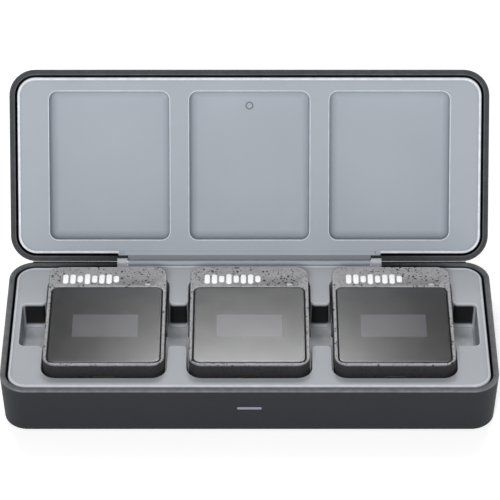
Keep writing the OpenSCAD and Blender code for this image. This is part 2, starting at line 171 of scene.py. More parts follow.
class Solid:
    """Closed surface made of rings, the walls between them and flat patches that share their points."""

    def __init__(self) -> None:
        """Starts with no points and no faces."""
        self.points: list[Array] = []
        self.wear_and_highlight: list[Array] = []
        self.faces: list[tuple[int, ...]] = []
        self.count = 0

    def ring(self, plan: Array, height: float, wear_and_highlight: float = 0.0) -> Array:
        """Adds one level ring of points.

        Args:
            plan: x and y of its points.
            height: its height.
            wear_and_highlight: how much wear and painted highlight it has.

        Returns:
            The numbers of the points.
        """
        self.points.append(np.column_stack([plan, np.full(len(plan), height)]))
        self.wear_and_highlight.append(np.full(len(plan), wear_and_highlight))
        self.count += len(plan)
        return np.arange(self.count - len(plan), self.count)

    def wall(self, first: Array, second: Array) -> None:
        """Joins two rings of the same length by a band of four-sided faces."""
        quads = np.stack([first, np.roll(first, -1), np.roll(second, -1), second], axis=1)
        self.faces += list(map(tuple, quads.tolist()))

    def loft(self, outline: Outline, profile: Profile) -> tuple[Array, Array]:
        """Carries a profile round an outline.

        Args:
            outline: plan that the profile follows.
            profile: rows of growth, height, and wear with painted highlight.

        Returns:
            The first ring and the last ring.
        """
        rings = [self.ring(outline.ring(grow), height, wear_and_highlight) for grow, height, wear_and_highlight in profile.rows]
        for before, after in zip(rings, rings[1:]):
            self.wall(before, after)
        return rings[0], rings[-1]

    def close(self, outline: Outline, profile: Profile) -> None:
        """Carries a profile round an outline and fills its first and last rings."""
        first, last = self.loft(outline, profile)
        self.patch(first)
        self.patch(last)

    def patch(self, edge: Array, *holes: Array) -> None:
        """Fills a flat area inside one ring and outside others.

        Args:
            edge: numbers of the outer ring.
            holes: numbers of each inner ring.
        """
        if not holes:
            self.faces.append(tuple(edge.tolist()))
            return
        points = np.concatenate(self.points)
        rings = [edge, *holes]
        flat = np.concatenate(rings)
        parts = tessellate_polygon([[(*points[i][:2], 0.0) for i in ring] for ring in rings])
        self.faces += [tuple(flat[list(part)].tolist()) for part in parts]

    def mesh(self, name: str, place: Callable[[Array], Array] | None = None) -> bpy.types.Mesh:
        """Makes the mesh, in metres, with its faces pointing outwards.

        Args:
            name: name of the mesh.
            place: moves the points to where the piece is, in millimetres.

        Returns:
            The mesh, with its wear and painted highlight as a point attribute.
        """
        points = np.concatenate(self.points)
        points = (place(points) if place else points) * MM
        mesh = bpy.data.meshes.new(name)
        mesh.from_pydata(points.tolist(), [], self.faces)
        edge_wear_and_highlight = mesh.attributes.new("wear_and_highlight", "FLOAT", "POINT")
        edge_wear_and_highlight.data.foreach_set("value", np.concatenate(self.wear_and_highlight).astype(np.float32))
        work = bmesh.new()
        work.from_mesh(mesh)
        bmesh.ops.recalc_face_normals(work, faces=work.faces)
        work.to_mesh(mesh)
        work.free()
        smooth(mesh)
        return mesh


def smooth(mesh: bpy.types.Mesh) -> None:
    """Shades a mesh smooth, apart from its sharp edges."""
    mesh.polygons.foreach_set("use_smooth", np.ones(len(mesh.polygons), bool))
    mesh.set_sharp_from_angle(angle=math.radians(SHARP_DEGREES))


def prism(outline: Outline, low: float, high: float, place: Callable[[Array], Array] | None = None,
          soften: float = 0.0) -> Solid:
    """Upright block with the outline's plan, its two rims rounded by a quarter circle.

    Args:
        outline: plan of the block.
        low: height of its underside.
        high: height of its top.
        place: moves the points to where the block is; nothing moves them when it is left out.
        soften: radius of the rims.

    Returns:
        The solid.
    """
    body = Solid()
    side = Profile()
    if soften:
        side.at(-soften - 0.1, low)
        side.round((-soften, low + soften), soften, -90, 0, 0.6)
        side.round((-soften, high - soften), soften, 0, 90, 0.6)
        side.at(-soften - 0.1, high)
    else:
        side.at(0, low).at(0, high)
    body.close(outline, side)
    if place:
        body.points = [place(np.concatenate(body.points))]
        body.wear_and_highlight = [np.concatenate(body.wear_and_highlight)]
    return body


def link(name: str, data: bpy.types.ID) -> bpy.types.Object:
    """Puts a mesh, a lamp or a camera in the scene as an object at the origin."""
    piece = bpy.data.objects.new(name, data)
    bpy.context.scene.collection.objects.link(piece)
    return piece


def add(name: str, body: Solid, place: Callable[[Array], Array] | None = None) -> bpy.types.Object:
    """Makes a solid's mesh and puts it in the scene under the same name."""
    return link(name, body.mesh(name, place))


def lofted(name: str, outline: Outline, profile: Profile,
           place: Callable[[Array], Array] | None = None) -> bpy.types.Object:
    """Makes a piece of one closed loft.

    Args:
        name: name of the piece.
        outline: plan that the profile follows.
        profile: rows of growth, height, and wear with painted highlight.
        place: moves the points to where the piece is.

    Returns:
        The object.
    """
    body = Solid()
    body.close(outline, profile)
    return add(name, body, place)


def carve(piece: bpy.types.Object, cutters: Sequence[Solid]) -> None:
    """Cuts solids out of a piece and keeps only the result.

    Args:
        piece: object that is cut.
        cutters: what is taken away.
    """
    tools = [add("cutter", cutter) for cutter in cutters]
    for tool in tools:
        cut = piece.modifiers.new("cut", "BOOLEAN")
        cut.operation, cut.solver, cut.object = "DIFFERENCE", "EXACT", tool
    seen = piece.evaluated_get(bpy.context.evaluated_depsgraph_get())
    made = bpy.data.meshes.new_from_object(seen)
    piece.modifiers.clear()
    piece.data = made
    made.name = piece.name
    smooth(made)
    for tool in tools:
        bpy.data.objects.remove(tool)


def along_y(points: Array) -> Array:
    """Turns a block whose height ran along Z so that it runs along Y."""
    return points[:, [0, 2, 1]]


def along_x(points: Array) -> Array:
    """Turns a block whose plan held Y and Z so that it runs along X."""
    return points[:, [2, 0, 1]]


# ---------- shared shader groups ----------


class Pen:
    """Writes nodes and links into one node tree."""

    def __init__(self, tree: bpy.types.NodeTree) -> None:
        """Keeps the tree that is written to."""
        self.tree = tree

    def node(self, kind: str, inputs: dict[str | int, object] | None = None,
             **settings: object) -> bpy.types.Node:
        """Adds a node.

        Args:
            kind: node type without its common prefix.
            inputs: values or sockets for its inputs.
            settings: properties of the node.

        Returns:
            The node.
        """
        made = self.tree.nodes.new("ShaderNode" + kind)
        for key, value in settings.items():
            setattr(made, key, value)
        return self.fill(made, inputs or {})

    def fill(self, made: bpy.types.Node, inputs: dict[str | int, object]) -> bpy.types.Node:
        """Links or sets a node's inputs and returns the node."""
        for key, value in inputs.items():
            if isinstance(value, Socket):
                self.tree.links.new(value, made.inputs[key])
            else:
                made.inputs[key].default_value = value
        return made

    def math(self, operation: str, a: object, b: object = 0.0, clamp: bool = False) -> Socket:
        """Adds a Math node and returns its output."""
        return self.node("Math", {0: a, 1: b}, operation=operation, use_clamp=clamp).outputs[0]

    def spread(self, value: Socket, low: float, high: float,
               to_low: float = 0.0, to_high: float = 1.0) -> Socket:
        """Maps a value smoothly from one range to another and returns the output."""
        made = self.node("MapRange", {"Value": value, "From Min": low, "From Max": high,
                                      "To Min": to_low, "To Max": to_high}, interpolation_type="SMOOTHSTEP")
        return made.outputs["Result"]

    def mix(self, factor: object, a: object, b: object) -> Socket:
        """Mixes two colours and returns the output."""
        return self.node("Mix", {0: factor, 6: a, 7: b}, data_type="RGBA").outputs[2]

    def group(self, tree: bpy.types.NodeTree, inputs: dict[str, object]) -> bpy.types.Node:
        """Places a shared group with its own values."""
        made = self.tree.nodes.new("ShaderNodeGroup")
        made.node_tree = tree
        return self.fill(made, inputs)


class Groups:
    """Shader groups that more than one finish uses, each built once."""

    def __init__(self) -> None:
        """Builds every group."""
        self.grain = self.start("Moulded grain", ["Vector"], {"Size": 0.4, "Depth": 1.0}, ["Height", "Mask"])
        self.flecks = self.start("Mineral flecks", ["Vector"], {"Size": 1.0, "Share": 0.3}, ["Mask"])
        # Edge mask for wear and for painted edge highlights.
        self.wear_and_highlight = self.start("Edge wear", ["Vector"], {"Edge": 0.0, "Amount": 0.5}, ["Mask"])
        self.mottle = self.start("Soft mottle", ["Vector"], {"Size": 20.0, "Strength": 0.1}, ["Value"])
        self.window = self.start("Window area", ["Vector"],
                                 {"Half width": 10.0, "Half depth": 5.0, "Edge": 0.2}, ["Mask"])
        self.draw_grain()
        self.draw_flecks()
        self.draw_wear_and_highlight()
        self.draw_mottle()
        self.draw_window()

    @staticmethod
    def start(name: str, vectors: list[str], values: dict[str, float],
              outputs: list[str]) -> bpy.types.NodeTree:
        """Makes an empty group with named sockets.

        Args:
            name: name of the group.
            vectors: names of its vector inputs.
            values: names and first values of its number inputs.
            outputs: names of its number outputs.

        Returns:
            The group.
        """
        tree = bpy.data.node_groups.new(name, "ShaderNodeTree")
        for title in vectors:
            tree.interface.new_socket(title, in_out="INPUT", socket_type="NodeSocketVector")
        for title, value in values.items():
            socket = tree.interface.new_socket(title, in_out="INPUT", socket_type="NodeSocketFloat")
            socket.default_value = value
        for title in outputs:
            tree.interface.new_socket(title, in_out="OUTPUT", socket_type="NodeSocketFloat")
        return tree

    @staticmethod
    def ends(tree: bpy.types.NodeTree) -> tuple[Pen, Callable[[str], Socket], Callable[[str, Socket], None]]:
        """Gives what is needed to draw a group.

        Args:
            tree: the group.

        Returns:
            A pen, a function that gives an input by name and one that feeds an output by name.
        """
        source = tree.nodes.new("NodeGroupInput")
        target = tree.nodes.new("NodeGroupOutput")

        def read(title: str) -> Socket:
            """Gives an input's socket."""
            return source.outputs[title]

        def feed(title: str, value: Socket) -> None:
            """Links a value to an output."""
            tree.links.new(value, target.inputs[title])

        return Pen(tree), read, feed

    @staticmethod
    def scaled(pen: Pen, vector: Socket, size: Socket | float) -> Socket:
        """Divides metres by a size in millimetres, so that one unit is one feature."""
        factor = pen.math("DIVIDE", 1 / MM, size)
        return pen.node("VectorMath", {0: vector, "Scale": factor}, operation="SCALE").outputs[0]

    def draw_grain(self) -> None:
        """Fine moulded texture: noise, and rounded cells at half its height."""
        pen, read, feed = self.ends(self.grain)
        place = self.scaled(pen, read("Vector"), read("Size"))
        broad = pen.node("TexNoise", {"Vector": place, "Scale": 1.0, "Detail": 2.0, "Roughness": 0.6})
        cells = pen.node("TexVoronoi", {"Vector": place, "Scale": 1.4}, feature="SMOOTH_F1")
        height = pen.math("ADD", broad.outputs[0], pen.math("MULTIPLY", cells.outputs["Distance"], 0.5))
        feed("Height", pen.math("MULTIPLY", height, read("Depth")))
        feed("Mask", pen.spread(broad.outputs[0], 0.3, 0.7))

    def draw_flecks(self) -> None:
        """Irregular dark chips: cells near their centres, kept where two noises let them through."""
        pen, read, feed = self.ends(self.flecks)
        place = self.scaled(pen, read("Vector"), read("Size"))
        bend = pen.node("TexNoise", {"Vector": place, "Scale": 1.7, "Detail": 2.0})
        bent = pen.node("VectorMath", {0: place, 1: bend.outputs[1]}, operation="ADD")
        cells = pen.node("TexVoronoi", {"Vector": bent.outputs[0], "Scale": 1.0, "Randomness": 1.0})
        chance = pen.node("SeparateColor", {0: cells.outputs["Color"]})
        reach = pen.math("MULTIPLY", pen.math("LESS_THAN", chance.outputs[0], read("Share")),
                         pen.math("ADD", pen.math("MULTIPLY", chance.outputs[1], 0.22), 0.12))
        patches = pen.node("TexNoise", {"Vector": place, "Scale": 0.16, "Detail": 1.0})
        reach = pen.math("MULTIPLY", reach, pen.spread(patches.outputs[0], 0.36, 0.56, 0.6, 1.3))
        feed("Mask", pen.spread(pen.math("SUBTRACT", reach, cells.outputs["Distance"]), 0.0, 0.06))

    def draw_wear_and_highlight(self) -> None:
        """Rubbed edges and painted edge highlights: the edge value, broken up by noise."""
        pen, read, feed = self.ends(self.wear_and_highlight)
        place = self.scaled(pen, read("Vector"), 3.0)
        noise = pen.node("TexNoise", {"Vector": place, "Scale": 1.0, "Detail": 4.0})
        rubbed = pen.math("MULTIPLY", read("Edge"), pen.spread(noise.outputs[0], 0.3, 0.7, 0.7, 1.0))
        feed("Mask", pen.math("MULTIPLY", rubbed, read("Amount"), clamp=True))

    def draw_mottle(self) -> None:
        """Broad, faint variation about one."""
        pen, read, feed = self.ends(self.mottle)
        place = self.scaled(pen, read("Vector"), read("Size"))
        noise = pen.node("TexNoise", {"Vector": place, "Scale": 1.0, "Detail": 3.0})
        around = pen.math("SUBTRACT", noise.outputs[0], 0.5)
        feed("Value", pen.math("ADD", pen.math("MULTIPLY", around, read("Strength")), 1.0))

    def draw_window(self) -> None:
        """Rectangle in plan: one inside it, falling to nothing over the width of its edge."""
        pen, read, feed = self.ends(self.window)
        parts = pen.node("SeparateXYZ", {0: self.scaled(pen, read("Vector"), 1.0)})
        masks = []
        for axis, half in ((0, "Half width"), (1, "Half depth")):
            inside = pen.math("SUBTRACT", read(half), pen.math("ABSOLUTE", parts.outputs[axis]))
            masks.append(pen.math("DIVIDE", inside, read("Edge"), clamp=True))
        feed("Mask", pen.math("MULTIPLY", *masks))


GROUPS = Groups()


# ---------- finishes ----------

Colour = tuple[float, float, float]


def solid_colour(colour: Colour, gain: float = 1.0) -> tuple[float, float, float, float]:
    """Adds the fourth number that a colour socket needs."""
    return (colour[0] * gain, colour[1] * gain, colour[2] * gain, 1.0)


@dataclass(frozen=True)
class Finish:
    """Surface of one kind of material; the kinds below add their own patterns."""

    title: str
    slot: str
    colour: Colour
    roughness: float
    specular: float = 0.5
    metallic: float = 0.0

    def make(self) -> bpy.types.Material:
        """Builds the material, or gives it back if it is there already."""
        known = bpy.data.materials.get(self.title)
        if known:
            return known
        made = bpy.data.materials.new(self.title)
        made.use_nodes = True
        tree = made.node_tree
        tree.nodes.clear()
        pen = Pen(tree)
        shader = pen.node("BsdfPrincipled", {
            "Base Color": solid_colour(self.colour), "Roughness": self.roughness,
            "Metallic": self.metallic, "Specular IOR Level": self.specular})
        tree.links.new(shader.outputs[0], pen.node("OutputMaterial").inputs[0])
        place = pen.node("TexCoord").outputs["Object"]
        self.dress(pen, shader, place)
        return made

    def dress(self, pen: Pen, shader: bpy.types.Node, place: Socket) -> None:
        """Adds the finish's own pattern; the plain kind has a faint mottle and a fine grain."""
        self.tint(pen, shader, place, 12.0, 0.12)
        self.bump(pen, shader, place, 0.3, 0.02)

    def tint(self, pen: Pen, shader: bpy.types.Node, place: Socket, size: float, strength: float,
             colour: object = None) -> None:
        """Varies the base colour a little.

        Args:
            pen: writes the nodes.
            shader: shader whose base colour is fed.
            place: coordinates.
            size: size of the variation, in millimetres.
            strength: how strong it is.
            colour: colour that is varied, or the finish's own.
        """
        mottle = pen.group(GROUPS.mottle, {"Vector": place, "Size": size, "Strength": strength})
        base = pen.node("VectorMath", {0: self.colour if colour is None else colour,
                                       "Scale": mottle.outputs[0]}, operation="SCALE").outputs[0]
        pen.tree.links.new(base, shader.inputs["Base Color"])

    def bump(self, pen: Pen, shader: bpy.types.Node, place: Socket, size: float, depth: float) -> None:
        """Adds a moulded grain of a size and a depth in millimetres."""
        grain = pen.group(GROUPS.grain, {"Vector": place, "Size": size, "Depth": 1.0})
        bump = pen.node("Bump", {"Distance": depth * MM, "Height": grain.outputs["Height"]})
        pen.tree.links.new(bump.outputs[0], shader.inputs["Normal"])
        rough = pen.spread(grain.outputs["Mask"], 0, 1, self.roughness - 0.04, self.roughness + 0.06)
        pen.tree.links.new(rough, shader.inputs["Roughness"])


@dataclass(frozen=True)
class MouldedPlastic(Finish):
    """Textured plastic whose edges are painted lighter: light rubbing, and a painted highlight along them."""

    grain: float = 0.35
    depth: float = 0.03
    # Lighter edge colour: wear, and a painted highlight along edges and rims.
    rubbed: Colour = (0.2, 0.2, 0.2)
    wear_and_highlight: float = 0.3

    def dress(self, pen: Pen, shader: bpy.types.Node, place: Socket) -> None:
        """Adds mottle, edges with wear and a painted highlight, and grain."""
        edge = pen.node("Attribute", attribute_name="wear_and_highlight").outputs["Fac"]
        edge_wear_and_highlight = pen.group(GROUPS.wear_and_highlight, {"Vector": place, "Edge": edge, "Amount": self.wear_and_highlight})
        # Painted highlight and wear: the lighter colour is mixed in along the edges.
        colour = pen.mix(edge_wear_and_highlight.outputs[0], self.base_colour(pen, place), solid_colour(self.rubbed))
        self.tint(pen, shader, place, 25.0, 0.12, colour)
        self.bump(pen, shader, place, self.grain, self.depth)

    def base_colour(self, pen: Pen, place: Socket) -> object:
        """Gives the colour before the edges are rubbed."""
        return solid_colour(self.colour)


@dataclass(frozen=True)
class TrayPlastic(MouldedPlastic):
    """Tray plastic; the back walls of its finger slots are painted near-black as their shade."""

    # Near-black colour painted on the finger slots' back walls as their shade.
    painted_shade_strip: Colour = (0.006, 0.006, 0.007)
    back: float = 12.7
    low: float = 9.2
    high: float = 20.4

    def base_colour(self, pen: Pen, place: Socket) -> Socket:
        """Mixes in the painted shade where the back wall lies, with a soft upper and lower edge."""
        parts = pen.node("SeparateXYZ", {0: Groups.scaled(pen, place, 1.0)})
        off = pen.math("ABSOLUTE", pen.math("SUBTRACT", parts.outputs[1], self.back + 0.1))
        near = pen.spread(off, 0.35, 0.75, 1.0, 0.0)
        above = pen.spread(parts.outputs[2], self.low + 0.5, self.low + 2.0)
        below = pen.spread(parts.outputs[2], self.high - 1.6, self.high - 0.5, 1.0, 0.0)
        # Painted shade on the slot's back wall, between its soft upper and lower edges.
        mask = pen.math("MULTIPLY", near, pen.math("MULTIPLY", above, below))
        return pen.mix(mask, solid_colour(self.colour), solid_colour(self.painted_shade_strip))


@dataclass(frozen=True)
class SpeckledPlastic(Finish):
    """Matt plastic with near-black mineral flecks of two sizes, grey on top and dark at the sides as painted
    light and shade.
    """

    large: tuple[float, float] = (1.3, 1.0)
    small: tuple[float, float] = (0.75, 0.75)
    small_depth: float = 0.75
    wear_and_highlight: float = 0.6
    fleck: Colour = (0.012, 0.012, 0.014)
    # Near-white edge colour: painted glints along the rims, with some wear.
    rubbed: Colour = (0.7, 0.7, 0.72)
    # Colour of the sides: painted shade, against the lighter painted-lit top.
    side: Colour = (0.02, 0.02, 0.022)
    top: float = 25.7

    def dress(self, pen: Pen, shader: bpy.types.Node, place: Socket) -> None:
        """Adds large and small flecks, a top painted lighter than the sides, edges with wear and painted
        glints, and a fine grain.
        """
        large, small = (pen.group(GROUPS.flecks, {"Vector": place, "Size": size, "Share": share}).outputs[0]
                        for size, share in (self.large, self.small))
        fleck = pen.math("MAXIMUM", large, pen.math("MULTIPLY", small, self.small_depth))
        dust = pen.group(GROUPS.grain, {"Vector": place, "Size": 0.5, "Depth": 1.0})
        height = pen.node("SeparateXYZ", {0: place}).outputs[2]
        # Painted light and shade by height: the top takes the lighter colour, the sides the dark one.
        face = pen.spread(height, (self.top - 0.4) * MM, (self.top - 0.05) * MM)
        low = pen.mix(face, solid_colour(self.side, 0.8), solid_colour(self.colour, 0.78))
        high = pen.mix(face, solid_colour(self.side, 1.3), solid_colour(self.colour, 1.2))
        ground = pen.mix(dust.outputs["Mask"], low, high)
        edge = pen.node("Attribute", attribute_name="wear_and_highlight").outputs["Fac"]
        # Painted glints and wear along the edges.
        edge_wear_and_highlight = pen.group(GROUPS.wear_and_highlight, {"Vector": place, "Edge": edge, "Amount": self.wear_and_highlight})
        ground = pen.mix(edge_wear_and_highlight.outputs[0], ground, solid_colour(self.rubbed))
        self.tint(pen, shader, place, 9.0, 0.2, pen.mix(fleck, ground, solid_colour(self.fleck)))
        self.bump(pen, shader, place, 0.3, 0.03)


@dataclass(frozen=True)
class FrontGlass(Finish):
    """Dark polished window with a faintly lighter display area behind it."""

    display: Colour = (0.066, 0.066, 0.076)
    centres: tuple[tuple[float, float], ...] = ()
    half: tuple[float, float] = (12.35, 6.5)

    def dress(self, pen: Pen, shader: bpy.types.Node, place: Socket) -> None:
        """Adds the display areas and fine haze."""
        masks = []
        for x, y in self.centres:
            moved = pen.node("VectorMath", {0: place, 1: (x * MM, y * MM, 0.0)}, operation="SUBTRACT")
            masks.append(pen.group(GROUPS.window, {"Vector": moved.outputs[0], "Half width": self.half[0],
                                                   "Half depth": self.half[1], "Edge": 0.25}).outputs[0])
        area = masks[0]
        for mask in masks[1:]:
            area = pen.math("MAXIMUM", area, mask)
        colour = pen.mix(area, solid_colour(self.colour), solid_colour(self.display))
        self.tint(pen, shader, place, 30.0, 0.15, colour)
        haze = pen.group(GROUPS.mottle, {"Vector": place, "Size": 6.0, "Strength": 0.25})
        rough = pen.math("MULTIPLY", haze.outputs[0], self.roughness)
        pen.tree.links.new(rough, shader.inputs["Roughness"])


@dataclass(frozen=True)
class SolderMask(Finish):
    """Circuit board: tracks under green lacquer, and small tinned pads."""

    track: Colour = (0.04, 0.2, 0.09)
    pad: Colour = (0.5, 0.5, 0.5)

    def dress(self, pen: Pen, shader: bpy.types.Node, place: Socket) -> None:
        """Adds square-cornered tracks and pads."""
        place_mm = Groups.scaled(pen, place, 1.0)
        lanes = pen.node("TexVoronoi", {"Vector": place_mm, "Scale": 0.45}, distance="CHEBYCHEV")
        tracks = pen.spread(pen.math("PINGPONG", lanes.outputs["Distance"], 0.12), 0.05, 0.07)
        pads = pen.node("TexVoronoi", {"Vector": place_mm, "Scale": 0.7, "Randomness": 0.25},
                        distance="CHEBYCHEV")
        tinned = pen.math("LESS_THAN", pads.outputs["Distance"], 0.2)
        colour = pen.mix(tracks, solid_colour(self.colour), solid_colour(self.track))
        self.tint(pen, shader, place, 8.0, 0.2, pen.mix(tinned, colour, solid_colour(self.pad)))
        self.bump(pen, shader, place, 0.8, 0.02)


@dataclass(frozen=True)
class WorkedMetal(Finish):
    """Metal with drawn lines along X and a few handling marks."""

    lines: float = 0.15
    stretch: tuple[float, float, float] = (60.0, 4000.0, 4000.0)

    def dress(self, pen: Pen, shader: bpy.types.Node, place: Socket) -> None:
        """Adds stretched noise to the colour, the roughness and the height."""
        drawn = pen.node("Mapping", {"Vector": place, "Scale": self.stretch})
        noise = pen.node("TexNoise", {"Vector": drawn.outputs[0], "Scale": 1.0, "Detail": 3.0}).outputs[0]
        self.tint(pen, shader, place, 5.0, 0.25)
        rough = pen.spread(noise, 0.3, 0.7, self.roughness - 0.08, self.roughness + self.lines)
        pen.tree.links.new(rough, shader.inputs["Roughness"])
        bump = pen.node("Bump", {"Strength": 0.4, "Distance": 0.01 * MM, "Height": noise})
        pen.tree.links.new(bump.outputs[0], shader.inputs["Normal"])


@dataclass(frozen=True)
class Foil(Finish):
    """Foil pouch of a cell, with soft creases."""

    def dress(self, pen: Pen, shader: bpy.types.Node, place: Socket) -> None:
        """Adds creases."""
        noise = pen.node("TexNoise", {"Vector": Groups.scaled(pen, place, 4.0), "Scale": 1.0, "Detail": 5.0,
                                      "Distortion": 1.5}).outputs[0]
        self.tint(pen, shader, place, 6.0, 0.2)
        bump = pen.node("Bump", {"Strength": 0.6, "Distance": 0.2 * MM, "Height": noise})
        pen.tree.links.new(bump.outputs[0], shader.inputs["Normal"])


# The lighter edge colours below are partly wear and partly painted highlight on rims, beads and edges.
GRAPHITE = MouldedPlastic("graphite plastic", "graphite_shell", (0.015, 0.0165, 0.0205), 0.6, 0.22,
                          rubbed=(0.2, 0.205, 0.22), wear_and_highlight=0.9)
LINER = MouldedPlastic("grey satin plastic", "grey_liner", (0.36, 0.395, 0.44), 0.55, 0.3,
                       grain=0.5, depth=0.012, rubbed=(0.85, 0.88, 0.93), wear_and_highlight=1.0)
# Darker plastic of the ring mark; on the hinge groove strip it is painted shade.
RING = MouldedPlastic("darker satin plastic", "grey_liner", (0.17, 0.185, 0.205), 0.5, 0.3, depth=0.012,
                      rubbed=(0.3, 0.32, 0.34))
TRAY = TrayPlastic("tray plastic", "grey_liner", (0.385, 0.405, 0.43), 0.55, 0.3, grain=0.5, depth=0.012,
                   rubbed=(0.66, 0.68, 0.72), wear_and_highlight=0.8)
SPECKLED = SpeckledPlastic("speckled plastic", "speckled_shell", (0.178, 0.176, 0.188), 0.6, 0.4)
RUBBER = MouldedPlastic("black rubber", "rubber_pad", (0.025, 0.025, 0.027), 0.85, 0.25,
                        grain=0.6, depth=0.05, rubbed=(0.06, 0.06, 0.06))
BUTTON = MouldedPlastic("black plastic", "black_button", (0.03, 0.03, 0.033), 0.5, 0.4, grain=0.25,
                        rubbed=(0.08, 0.08, 0.08))
BAR = Finish("frosted light guide", "clear_light", (0.2, 0.215, 0.28), 0.4)
LENS = Finish("small status lens", "clear_light", (0.4, 0.41, 0.42), 0.3)
INK = Finish("white print", "speckled_shell", (0.93, 0.93, 0.93), 0.5)
BOARD = SolderMask("green solder mask", "green_board", (0.02, 0.11, 0.05), 0.35)
CELL = Foil("silver foil", "foil_cell", (0.6, 0.6, 0.62), 0.35, metallic=1.0)
STEEL = WorkedMetal("drawn steel", "steel_part", (0.62, 0.62, 0.63), 0.3, metallic=1.0)
GOLD = WorkedMetal("gold plate", "gold_contact", (0.83, 0.6, 0.27), 0.25, metallic=1.0)
MAGNET = WorkedMetal("black-coated magnet", "steel_part", (0.012, 0.012, 0.013), 0.5, 0.3)
PANEL = Finish("display panel", "display_panel", (0.1, 0.1, 0.11), 0.3)


def finish(piece: bpy.types.Object, surface: Finish, body: str, *nodes: str) -> bpy.types.Object:
    """Dresses a new piece, hangs it on its body and hides the CAD nodes that it stands for.

    Args:
        piece: the object.
        surface: its finish.
        body: name of the body that it rides on.
        nodes: CAD nodes that it replaces.

    Returns:
        The object.
    """
    piece.data.materials.clear()
    piece.data.materials.append(surface.make())
    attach(piece, body)
    if nodes:
        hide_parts(*nodes)
    log.info("%s on %s, %d faces, %s", piece.name, body, len(piece.data.polygons), surface.title)
    return piece


def dress_nodes(surfaces: dict[str, Finish], prefix: str = "") -> None:
    """Gives carried-over CAD nodes their materials.

    Args:
        surfaces: finish of each node, by name.
        prefix: start that all the names share.
    """
    for title, surface in surfaces.items():
        node = frame["nodes"][prefix + title]
        if not node.material_slots:
            node.data.materials.append(None)
        for slot in node.material_slots:
            slot.material = surface.make()
        log.info("%s keeps its CAD shape, %s", prefix + title, surface.title)


# ---------- the case ----------


class Unit(Enum):
    """The three units, by the name of the body that each rides on."""

    LEFT = "left_transmitter"
    MIDDLE = "receiver"
    RIGHT = "right_transmitter"


@dataclass(frozen=True)
class Hinge:
    """The lid's axis, in millimetres, and the angle that it stands open at rest, in radians."""

    y: float
    z: float
    angle: float
    radius: float = 1.5

    @staticmethod
    def read() -> "Hinge":
        """Takes the axis and the angle from the record's hinge joint."""
        joints = frame["record"]["behaviour"]["joints"]
        joint = next(entry for entry in joints if entry["name"] == "lid_hinge")
        _, y, z = joint["pos_m"]
        return Hinge(y / MM, z / MM, math.radians(-joint["range_deg"][0]))

    def open(self, points: Array) -> Array:
        """Turns points from the closed place to the open one, about the axis."""
        y, z = points[:, 1] - self.y, points[:, 2] - self.z
        c, s = math.cos(self.angle), math.sin(self.angle)
        return np.column_stack([points[:, 0], self.y + c * y + s * z, self.z - s * y + c * z])


